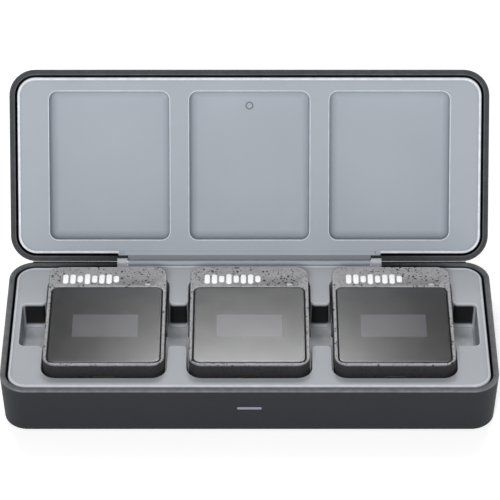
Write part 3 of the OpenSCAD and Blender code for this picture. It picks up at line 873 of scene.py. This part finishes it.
@dataclass
class Base:
    """Lower half of the case: shell, tray, pad, and the small parts that it carries."""

    hinge: Hinge
    wall: float = 2.1
    corner: float = 10.0
    draft: float = 1.0
    foot_round: float = 0.8
    floor: float = 2.0
    pad_margin: float = 6.0
    pad_depth: float = 0.4
    plate: float = 1.5
    plate_drop: float = 0.4
    groove: float = 0.9
    knuckle: float = 3.6
    cut_half: float = 51.0
    bead: float = 0.2
    edge_round: float = 0.6
    lip: float = 0.55
    light_half: tuple[float, float] = (4.6, 0.65)
    inlet_gap: float = 0.2
    inlet_round: float = 1.75
    slot: tuple[float, float] = (-11.0, 12.7)
    slot_margin: float = 6.0
    slot_turn: float = 2.0
    well_gap: float = 0.8
    well_round: float = 5.8
    tab_reach: float = 1.85
    seal_wide: float = 0.6
    seal_high: float = 0.29
    ribs: int = 17
    rib_half: float = 0.9

    def __post_init__(self) -> None:
        """Reads the shell's box and works out the tray's face and the tab's half width."""
        self.low, self.high = span_mm("base_shell")
        self.top = self.high[2]
        self.face = self.top - self.plate_drop
        self.tab_half = self.cut_half - 0.4

    def plan(self, inset: float, radius: float) -> Outline:
        """Plan of the shell, moved inwards."""
        return Outline.block(self.low + inset, self.high - inset, radius, 14)

    def plate_plan(self, tab_reach: float) -> Outline:
        """Plan of a plate inside the shell, with a wide tab towards the hinge.

        Args:
            tab_reach: how far short of the hinge's axis the tab ends.

        Returns:
            The plan, which the tray and the lid's liner share.
        """
        inset = self.wall + self.groove
        radius = self.corner - inset
        left, front = self.low[:2] + inset
        right, back = self.high[:2] - inset
        tab, end = self.tab_half, self.hinge.y - tab_reach
        return Outline(((left, front, radius), (right, front, radius), (right, back, radius),
                        (tab, back, 0.4), (tab, end, 0.3), (-tab, end, 0.3), (-tab, back, 0.4),
                        (left, back, radius)), 10)

    def hinge_cut(self, low: float, high: float, place: Callable[[Array], Array] | None = None) -> Solid:
        """Block that a shell's back rim loses to make room for the hinge.

        Args:
            low: height of its underside.
            high: height of its top.
            place: moves it to where the shell is.

        Returns:
            The cutter.
        """
        back = self.high[1]
        plan = Outline.block((-self.cut_half, back - self.wall - 0.1), (self.cut_half, back + 1), 0.3, 3)
        return prism(plan, low, high, place)

    def shell(self) -> None:
        """Cup whose profile runs from the pad's pocket, round the foot, up and over the rim to the floor."""
        outline = self.plan(0, self.corner)
        under, top = self.low[2], self.top
        foot = under + self.foot_round
        side = Profile()
        side.at(-self.pad_margin - 0.3, under + self.pad_depth).at(-self.pad_margin, under + self.pad_depth)
        side.at(-self.pad_margin, under + 0.15).at(-self.pad_margin + 0.15, under)
        side.at(-self.draft - self.foot_round - 0.4, under)
        side.round((-self.draft - self.foot_round, foot), self.foot_round, -90, 0, 0.0, 6)
        side.at(-self.draft + 0.03, foot + 0.5).at(-0.03, top - 0.8)
        # Wear values on the rim's rounding and top paint its highlight and the sheen of the rim strip,
        # besides some wear.
        side.round((-0.2, top - 0.2), 0.2, 0, 90, 1.0, 4)
        side.at(-0.55, top, 0.8).at(-self.wall + 0.45, top, 0.6)
        side.round((-self.wall + 0.25, top - 0.25), 0.25, 90, 180, 0.6, 3)
        side.at(-self.wall, top - 0.8).at(-self.wall, under + self.floor + 0.3)
        side.at(-self.wall - 0.3, under + self.floor)
        piece = lofted("base_case_shell", outline, side)
        notch = self.hinge_cut(self.face - self.plate - 0.2, top + 1)
        light_low, light_high = span_mm("status_light")
        centre = np.array((0.0, light_high[2] - 0.5 * (light_high[2] - light_low[2])))
        plan = Outline.block(centre - self.light_half, centre + self.light_half, 0.6)
        slot = prism(plan, self.low[1] - 1, self.low[1] + self.wall + 0.4, along_y)
        inlet_low, inlet_high = span_mm("charge_inlet")
        plan = Outline.block(inlet_low[[0, 2]] - self.inlet_gap, inlet_high[[0, 2]] + self.inlet_gap,
                             self.inlet_round)
        mouth = prism(plan, self.high[1] - self.wall - 1.5, self.high[1] + 1, along_y)
        carve(piece, [notch, slot, mouth])
        finish(piece, GRAPHITE, "base", "base_shell")

    def opening(self) -> Outline:
        """Plan of the three wells and the finger slot that crosses them, as one closed line."""
        gap, deep, turn = self.well_gap, self.well_round, self.slot_turn
        wells = []
        for unit in Unit:
            low, high = span_mm(f"{unit.value}_front_housing")
            wells.append((low[0] - gap, high[0] + gap))
        front, back = low[1] - gap, high[1] + gap
        start, stop = self.low[0] + self.slot_margin, self.high[0] - self.slot_margin
        near, far = self.slot
        corners = [(start, near, turn)]
        for left, right in wells:
            corners += [(left, near, turn), (left, front, deep), (right, front, deep), (right, near, turn)]
        corners += [(stop, near, turn), (stop, far, turn)]
        for left, right in reversed(wells):
            corners += [(right, far, turn), (right, back, deep), (left, back, deep), (left, far, turn)]
        corners += [(start, far, turn)]
        return Outline(tuple(corners), 8)

    def tray(self) -> None:
        """Plate with a rounded bead, its wells and finger slot, closed by an offset underside."""
        face, under = self.face, span_mm("base_tray")[0][2]
        floor = under + 1.2
        body = Solid()
        soft = self.edge_round
        edge = Profile().at(0, face - self.plate).at(0, face - soft - 0.1)
        # Wear values on the bead paint its highlight line, besides some wear.
        edge.round((-soft, face - soft + self.bead), soft, 0, 90, 0.9, 6)
        edge.at(-soft - 0.35, face + self.bead, 0.6)
        edge.at(-soft - 0.6, face - 0.12).at(-soft - 0.85, face - 0.12)
        edge.at(-soft - 1.15, face).at(-soft - 1.4, face)
        outer_low, outer_top = body.loft(self.plate_plan(self.tab_reach), edge)
        opening = self.opening()
        lip = self.lip
        rim = Profile().at(lip + 0.35, face).at(lip, face)
        rim.round((lip, face - lip), lip, 90, 180, 0.5, 4)
        rim.at(0, face - lip - 0.4).at(-0.15, floor + 0.9)
        rim.round((-0.95, floor + 0.8), 0.8, 0, -90, 0, 5)
        rim.at(-1.25, floor, 0.9)
        rim_top, rim_low = body.loft(opening, rim)
        body.patch(outer_top, rim_top)
        blocks = []
        block_low, block_high = span_mm("contact_blocks")
        middle = [0.5 * sum(span_mm(f"{unit.value}_clip")[i][0] for i in (0, 1)) for unit in Unit]
        half = 0.5 * (block_high[0] - block_low[0] - (middle[2] - middle[0]))
        for x in middle:
            plan = Outline.block((x - half - 0.1, block_low[1] - 0.1),
                                 (x + half + 0.1, block_high[1] + 0.1), 1.0, 4)
            blocks.append(body.loft(plan, Profile().at(0, floor).at(0, under)))
        body.patch(rim_low, *[pair[0] for pair in blocks])
        back_rim = body.loft(opening, Profile().at(1.2, face - self.plate).at(1.2, under))
        body.patch(outer_low, back_rim[0])
        body.patch(back_rim[1], *[pair[1] for pair in blocks])
        finish(add("base_tray_moulding", body), TRAY, "base", "base_tray")

    def knuckles(self) -> None:
        """End knuckles of the hinge: a round barrel with a web that runs to the tray."""
        y, z, r = self.hinge.y, self.hinge.z, self.hinge.radius
        outline = Outline(((y - 2.8, z - r, 0.1), (y + r, z - r, r), (y + r, z + r, r), (y - r, z + r, r),
                           (y - r, z - 0.3, 0.2), (y - 2.8, z - 0.3, 0.1)), 6)
        long = self.knuckle + 0.3
        for side, start in (("left", -self.cut_half + 0.1), ("right", self.cut_half - 0.1 - long)):
            body = prism(outline, start, start + long, along_x, 0.04)
            name = f"{side}_end_knuckle"
            finish(add(name, body), TRAY, "base")

    def seal(self) -> None:
        """Thin dark strips on the back rim, beside the hinge, that fill the seam when the lid is down."""
        strips = Solid()
        back, top = self.high[1] - 0.02, self.top + self.seal_high
        edge = Profile().at(0, self.top - 0.4).at(0, top - 0.03).at(-0.03, top)
        for side in (-1, 1):
            start, stop = sorted((side * (self.cut_half - 0.2), side * (self.high[0] - self.corner + 1.5)))
            strips.close(Outline.block((start, back - self.seal_wide), (stop, back), 0.2, 3), edge)
        finish(add("rear_rim_seals", strips), RUBBER, "base")

    def pad(self) -> None:
        """Anti-slip pad: a rounded plate with a raised border and ribs underneath."""
        low, high = span_mm("anti_slip_pad")
        outline = Outline.block(low, high, 4.2, 8)
        side = Profile().at(-3.3, 0.35).at(-3.0, 0.35).at(-2.9, 0.02).at(-0.5, 0)
        side.round((-0.3, 0.3), 0.3, -90, 0, 0.3, 3).at(0, 1.0)
        piece = lofted("ribbed_anti_slip_pad", outline, side)
        finish(piece, RUBBER, "base", "anti_slip_pad")
        ribs = Solid()
        edge = Profile().at(0, 0.6).at(0, 0.2).at(-0.2, 0.02)
        for y in np.linspace(low[1] + 5.5, high[1] - 5.5, self.ribs):
            plan = Outline.block((low[0] + 5, y - self.rib_half), (high[0] - 5, y + self.rib_half), 0.85, 4)
            ribs.close(plan, edge)
        finish(add("anti_slip_ribs", ribs), RUBBER, "base")

    def build(self) -> None:
        """Makes the pieces and dresses the CAD nodes that stay."""
        self.shell()
        self.tray()
        self.knuckles()
        self.seal()
        self.pad()
        dress_nodes({"status_light": BAR, "charge_inlet": STEEL, "charge_board": BOARD, "case_battery": CELL,
                     "base_magnets": MAGNET, "base_screws": STEEL, "contact_blocks": BUTTON,
                     "hinge_pin": STEEL, "left_contact_pins": GOLD, "centre_contact_pins": GOLD,
                     "right_contact_pins": GOLD})


@dataclass
class Lid:
    """Upper half of the case, worked out closed and then turned open about the hinge."""

    hinge: Hinge
    base: Base
    height: float = 12.6
    seam: float = 0.3
    top_round: float = 3.0
    draft: float = 0.6
    roof: float = 2.0
    recess: float = 6.4
    recess_corner: float = 3.2
    recess_gap: tuple[float, float] = (0.7, 0.45)
    fillet: float = 3.3
    lip: float = 0.3
    tab_reach: float = 2.4
    web: float = 1.9
    web_thick: float = 0.7
    mark_y: float = -22.7
    mark_radius: float = 1.3
    mark_wire: tuple[float, float] = (0.24, 0.16)

    def __post_init__(self) -> None:
        """Works out the closed heights."""
        self.rim = self.base.top + self.seam
        self.top = self.rim + self.height
        self.face = self.rim + self.base.plate_drop

    def shell(self) -> None:
        """Cup whose profile runs from the inner roof, over the rim and up the drafted side to the top."""
        base = self.base
        outline = base.plan(0, base.corner)
        wall, roof = base.wall, self.top - self.roof
        side = Profile().at(-wall - 0.3, roof).at(-wall, roof - 0.3).at(-wall, self.rim + 0.8)
        # Wear values on the rim paint its highlight, besides some wear.
        side.round((-wall + 0.25, self.rim + 0.25), 0.25, 180, 270, 0.6, 3)
        side.at(-wall + 0.45, self.rim, 0.2).at(-0.45, self.rim, 0.2)
        side.round((-0.2, self.rim + 0.2), 0.2, -90, 0, 0.5, 4)
        side.at(-0.03, self.rim + 0.9).at(-self.draft + 0.03, self.top - self.top_round - 0.5)
        side.round((-self.draft - self.top_round, self.top - self.top_round), self.top_round, 0, 90, 0.0, 8)
        side.at(-self.draft - self.top_round - 0.5, self.top)
        piece = lofted("lid_case_shell", outline, side, self.hinge.open)
        carve(piece, [base.hinge_cut(self.rim - 1, self.face + base.plate + 0.2, self.hinge.open)])
        finish(piece, GRAPHITE, "lid", "lid_shell")

    def liner(self) -> None:
        """Plate with a bead round its edge, except beside the hinge, and three recesses with curved walls."""
        base, face = self.base, self.face
        bead, soft = base.bead, base.edge_round
        body = Solid()
        edge = Profile().at(0, face + base.plate).at(0, face + soft + 0.1)
        # Wear values on the edge rounding paint the liner's highlight line, besides some wear.
        edge.round((-soft, face + soft - bead), soft, 0, -90, 1.0, 6)
        edge.at(-soft - 0.35, face - bead, 0.7)
        edge.at(-soft - 0.6, face + 0.12).at(-soft - 0.85, face + 0.12)
        edge.at(-soft - 1.15, face).at(-soft - 1.4, face)
        outer_back, outer_face = body.loft(base.plate_plan(self.tab_reach), edge)
        faces, backs = [], []
        floor = face + self.recess
        lip, soft = self.lip, self.fillet
        for unit in Unit:
            low, high = span_mm(f"{unit.value}_front_housing")
            plan = Outline.block(low[:2] - self.recess_gap, high[:2] + self.recess_gap,
                                 self.recess_corner, 10)
            hollow = Profile().at(lip + 0.35, face).at(lip, face)
            # The wear value on the recess lip paints its light line, besides some wear.
            hollow.round((lip, face + lip), lip, -90, -180, 0.9, 4)
            hollow.at(-0.03, face + lip + 0.3).at(-0.1, floor - soft - 0.1)
            hollow.round((-0.1 - soft, floor - soft), soft, 0, 90, 0, 8)
            hollow.at(-0.6 - soft, floor)
            first, last = body.loft(plan, hollow)
            body.patch(last)
            faces.append(first)
            first, last = body.loft(plan, Profile().at(1.2, face + base.plate).at(1.2, floor + 1.2))
            body.patch(last)
            backs.append(first)
        body.patch(outer_face, *faces)
        body.patch(outer_back, *backs)
        bead_starts = self.hinge.y - self.tab_reach - 1.5
        for points, wear_and_highlight in zip(body.points, body.wear_and_highlight):
            flat = (np.abs(points[:, 0]) < base.tab_half) & (points[:, 1] > bead_starts)
            points[flat, 2] = np.maximum(points[flat, 2], face)
            wear_and_highlight[flat] = 0
        piece = add("lid_liner_moulding", body, self.hinge.open)
        finish(piece, LINER, "lid", "lid_liner")
        self.ring_mark(floor)

    def ring_mark(self, floor: float) -> None:
        """Small raised ring on the middle recess's floor: a half-round section carried round a circle."""
        around = np.linspace(0, 2 * math.pi, 40, endpoint=False)
        section = np.linspace(0, 2 * math.pi, 12, endpoint=False)
        a, s = np.meshgrid(around, section, indexing="ij")
        across, up = self.mark_wire
        reach = self.mark_radius + across * np.cos(s)
        points = np.column_stack([(reach * np.cos(a)).ravel(), (self.mark_y + reach * np.sin(a)).ravel(),
                                  (floor - up * np.sin(s)).ravel()])
        body = Solid()
        body.points, body.wear_and_highlight, body.count = [points], [np.zeros(len(points))], len(points)
        rows = np.arange(len(points)).reshape(a.shape)
        for i in range(len(around)):
            body.wall(rows[i], rows[(i + 1) % len(around)])
        finish(add("liner_ring_mark", body, self.hinge.open), RING, "lid")

    def barrel(self) -> None:
        """Long hinge barrel with the web that joins it to the liner, and a darker strip on the web that
        paints the groove's shade.
        """
        y, z, r = self.hinge.y, self.hinge.z, self.hinge.radius
        half = self.base.tab_half - self.base.knuckle - 0.2
        web, over = z + self.web, z + self.web + self.web_thick
        outline = Outline(((y - 3.0, web, 0.1), (y - 0.6, web, 0.3), (y - 0.6, z - 0.9, 1.0),
                           (y + r, z - 0.9, 1.1), (y + r, over, 1.2), (y - 3.0, over, 0.1)), 6)
        body = prism(outline, -half, half, lambda points: self.hinge.open(along_x(points)))
        finish(add("lid_hinge_barrel", body), LINER, "lid")
        # Dark strip in the groove under the liner: painted shade where the groove falls in shadow.
        plan = Outline.block((y - 2.5, web - 0.2), (y - 0.5, web + 0.3), 0.1, 3)
        painted_shade_strip = prism(plan, -half + 0.1, half - 0.1, lambda points: self.hinge.open(along_x(points)))
        finish(add("lid_hinge_groove_shade_strip", painted_shade_strip), RING, "lid")

    def build(self) -> None:
        """Makes the pieces and dresses the CAD nodes that stay."""
        self.shell()
        self.liner()
        self.barrel()
        dress_nodes({"lid_magnets": MAGNET})


@dataclass
class Pack:
    """One clip-on unit: housings, glass, printed mark, and the CAD parts that it carries."""

    unit: Unit
    glass_finish: Finish
    corner: float = 5.0
    wall: float = 1.6
    seat_gap: float = 0.3
    button_gap: float = 0.15
    lens_gap: float = 0.12
    bars: int = 8
    bars_from: float = -17.4
    bars_to: float = 4.6
    bars_back: float = 7.3
    bar_high: float = 5.9
    bar_share: float = 0.36

    def __post_init__(self) -> None:
        """Reads the unit's boxes."""
        self.name = self.unit.value
        self.low, self.high = span_mm(f"{self.name}_front_housing")
        self.glass_low, self.glass_high = span_mm(f"{self.name}_glass")
        self.middle = 0.5 * (self.low[0] + self.high[0])

    def front(self) -> None:
        """Speckled housing: drafted side, rounded rim, sunk seat for the glass, hollow underneath."""
        outline = Outline.block(self.low, self.high, self.corner, 12)
        low, top = self.low[2], self.high[2]
        side = Profile().at(-0.5, low).at(-0.2, low, 0.3).at(0, low + 0.2, 0.3)
        side.at(0, low + 0.6).at(0, top - 0.6)
        # Wear values on the rim paint glints along it, besides some wear.
        side.round((-0.35, top - 0.35), 0.35, 0, 80, 0.25, 4).at(-0.42, top, 1.0).at(-0.7, top, 0.5)
        body = Solid()
        seam, rim = body.loft(outline, side)
        seat_z = self.glass_low[2]
        seat = Outline.block(self.glass_low - self.seat_gap, self.glass_high + self.seat_gap, 2.8, 10)
        # Wear values on the seat's edge paint its highlight, besides some wear.
        sunk = Profile().at(0.45, top, 0.5).at(0.3, top, 0.8).round((0.3, top - 0.3), 0.3, 90, 180, 0.8, 3)
        sunk.at(0, seat_z + 0.05).at(-0.05, seat_z)
        edge, bottom = body.loft(seat, sunk)
        body.patch(rim, edge)
        body.patch(bottom)
        hollow = Profile().at(-self.wall, low).at(-self.wall, top - 1.8).at(-self.wall - 0.2, top - 1.6)
        mouth, roof = body.loft(outline, hollow)
        body.wall(seam, mouth)
        body.patch(roof)
        piece = add(f"{self.name}_front_shell", body)
        carve(piece, self.openings())
        finish(piece, SPECKLED, self.name, f"{self.name}_front_housing")

    def openings(self) -> list[Solid]:
        """Holes for the two side buttons, the charging socket, the audio jack and the status lens."""
        cutters = []
        flange = np.array((1.0, 0.6)) - self.button_gap
        for part, outer in (("power_button", self.high[0]), ("link_button", self.low[0])):
            low, high = span_mm(f"{self.name}_{part}")
            plan = Outline.block(low[1:] + flange, high[1:] - flange, 1.2, 6)
            cutters.append(prism(plan, outer - 2.0, outer + 2.0, along_x))
        low, high = span_mm(f"{self.name}_usb_socket")
        plan = Outline.block(low[[0, 2]] - 0.1, high[[0, 2]] + 0.1, 1.6, 6)
        cutters.append(prism(plan, self.low[1] - 1, self.low[1] + self.wall + 0.6, along_y))
        low, high = span_mm(f"{self.name}_audio_jack")
        plan = Outline.block(low[[0, 2]] - 0.05, high[[0, 2]] + 0.05, 2.94, 12)
        cutters.append(prism(plan, self.high[1] - self.wall - 0.6, self.high[1] + 1, along_y))
        low, high = span_mm(f"{self.name}_status_lens")
        plan = Outline.block(low[:2] - self.lens_gap, high[:2] + self.lens_gap, 0.6, 4)
        cutters.append(prism(plan, low[2], high[2] + 1))
        return cutters

    def rear(self) -> None:
        """Plain lower housing with a rounded foot, hollow inside."""
        low, high = span_mm(f"{self.name}_rear_housing")
        outline = Outline.block(low, high, self.corner, 12)
        side = Profile().at(-1.6, low[2]).round((-1.2, low[2] + 1.2), 1.2, -90, 0, 0.3, 5)
        side.at(0, high[2] - 0.4).at(-0.2, high[2], 0.3).at(-0.5, high[2])
        side.at(-self.wall, high[2]).at(-self.wall, low[2] + self.wall + 0.2)
        side.at(-self.wall - 0.2, low[2] + self.wall)
        piece = lofted(f"{self.name}_rear_shell", outline, side)
        finish(piece, GRAPHITE, self.name, f"{self.name}_rear_housing")

    def glass(self) -> None:
        """Polished front window with a small ground edge."""
        outline = Outline.block(self.glass_low, self.glass_high, 2.5, 10)
        low, top = self.glass_low[2], self.glass_high[2]
        side = Profile().at(-0.1, low).at(0, low + 0.1).at(0, top - 0.35)
        side.round((-0.3, top - 0.3), 0.3, 0, 90, 0.0, 4).at(-0.5, top)
        piece = lofted(f"{self.name}_front_window", outline, side)
        finish(piece, self.glass_finish, self.name, f"{self.name}_glass")

    def mark(self) -> None:
        """Printed row of rounded sound-level bars: heights follow a wave over the row."""
        body = Solid()
        top = self.high[2]
        start, centre = self.middle + self.bars_from, self.high[1] - self.bars_back
        pitch = (self.bars_to - self.bars_from) / self.bars
        edge = Profile().at(0, top - 0.1).at(0, top + 0.03).at(-0.05, top + 0.05)
        waves = 0.55 + 0.45 * np.abs(np.sin(np.arange(self.bars) * 1.25 + 0.9))
        for i, wave in enumerate(waves):
            middle = np.array((start + (i + 0.5) * pitch, centre))
            half = (self.bar_share * pitch, 0.5 * self.bar_high * wave)
            body.close(Outline.block(middle - half, middle + half, 0.9, 6), edge)
        finish(add(f"{self.name}_level_mark", body), INK, self.name)

    def build(self) -> None:
        """Makes the pieces and dresses the CAD nodes that stay."""
        self.front()
        self.rear()
        self.glass()
        self.mark()
        dress_nodes({"display": PANEL, "status_lens": LENS, "circuit_board": BOARD, "battery": CELL,
                     "power_button": BUTTON, "link_button": BUTTON, "usb_socket": STEEL,
                     "audio_jack": BUTTON, "clip": GRAPHITE, "charge_contacts": GOLD}, f"{self.name}_")


# ---------- the room ----------


@dataclass(frozen=True)
class Panel:
    """Soft rectangular light: place, aim, width and height in metres, and power in watts."""

    name: str
    place: tuple[float, float, float]
    aim: tuple[float, float, float]
    size: tuple[float, float]
    power: float

    def build(self) -> None:
        """Makes the light, facing its aim and unseen by the camera."""
        data = bpy.data.lights.new(self.name, "AREA")
        data.shape, data.size, data.size_y, data.energy = "RECTANGLE", *self.size, self.power
        lamp = link(self.name, data)
        lamp.location = self.place
        x, y, z = np.array(self.place) - np.array(self.aim)
        lamp.rotation_euler = (math.atan2(math.hypot(x, y), z), 0, math.atan2(x, -y))
        lamp.visible_camera = False


@dataclass
class Studio:
    """Pale floor, soft lights and the camera."""

    panels: tuple[Panel, ...] = (
        Panel("key", (-0.18, -1.55, 1.1), (0, 0.02, 0.03), (0.7, 0.5), 26),
        Panel("rim", (0.0, 0.86, 1.25), (0, 0.0, 0.02), (1.1, 0.26), 8),
        Panel("gloss", (0.0, 1.01, 1.09), (0, -0.03, 0.02), (0.2, 0.12), 3.1),
    )
    elevation: float = 39.53
    distance: float = 1.0958
    target: tuple[float, float, float] = (0.000236, 0.0452, 0.020)
    lens: float = 203.2
    sensor: float = 36.0
    floor_half: float = 8.0
    floor_glow: float = 0.45
    fill: float = 0.19

    def camera(self) -> None:
        """Looks along +Y and down at the case from the front."""
        data = bpy.data.cameras.new("camera")
        data.lens, data.sensor_width, data.clip_end = self.lens, self.sensor, 50.0
        camera = link("camera", data)
        tilt = math.radians(self.elevation)
        camera.location = (self.target[0], self.target[1] - self.distance * math.cos(tilt),
                           self.target[2] + self.distance * math.sin(tilt))
        camera.rotation_euler = (math.radians(90 - self.elevation), 0, 0)
        bpy.context.scene.camera = camera

    def floor(self) -> None:
        """Wide flat sheet of pale matt board."""
        half = self.floor_half
        mesh = bpy.data.meshes.new("floor")
        corners = [(-half, -half, 0), (half, -half, 0), (half, half, 0), (-half, half, 0)]
        mesh.from_pydata(corners, [], [(0, 1, 2, 3)])
        sheet = link("floor", mesh)
        surface = bpy.data.materials.new("pale board")
        surface.use_nodes = True
        shader = surface.node_tree.nodes["Principled BSDF"]
        Pen(surface.node_tree).fill(shader, {
            "Base Color": (0.9, 0.9, 0.9, 1), "Roughness": 0.9, "Specular IOR Level": 0.1,
            "Emission Color": (1, 1, 1, 1), "Emission Strength": self.floor_glow})
        mesh.materials.append(surface)

    def lights(self) -> None:
        """White surround, a soft panel in front, a wide one behind and a small one that glosses the glass."""
        world = bpy.data.worlds.new("surround")
        bpy.context.scene.world = world
        world.use_nodes = True
        tree = world.node_tree
        tree.nodes.clear()
        pen = Pen(tree)
        seen = pen.node("LightPath").outputs["Is Camera Ray"]
        strength = pen.spread(seen, 0, 1, self.fill, 1.0)
        sky = pen.node("Background", {"Color": (1, 1, 1, 1), "Strength": strength})
        tree.links.new(sky.outputs[0], pen.node("OutputWorld").inputs[0])
        for panel in self.panels:
            panel.build()

    def build(self) -> None:
        """Makes the camera, the floor and the lights."""
        self.camera()
        self.floor()
        self.lights()
        bpy.context.scene.view_settings.view_transform = "Standard"


def glass_finish() -> FrontGlass:
    """Works out where the three display areas lie and gives the glass finish."""
    centres = []
    for unit in Unit:
        low, high = span_mm(f"{unit.value}_display")
        centres.append((0.5 * (low[0] + high[0]), 0.5 * (low[1] + high[1])))
    return FrontGlass("front glass", "front_glass", (0.005, 0.005, 0.006), 0.17, centres=tuple(centres))


def main() -> None:
    """Builds the room, the case and the units in order."""
    logging.basicConfig(level=logging.INFO, format="%(name)s: %(message)s")
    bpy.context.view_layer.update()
    Studio().build()
    hinge = Hinge.read()
    base = Base(hinge)
    base.build()
    Lid(hinge, base).build()
    window = glass_finish()
    for unit in Unit:
        Pack(unit, window).build()


if __name__ == "__main__":
    main()
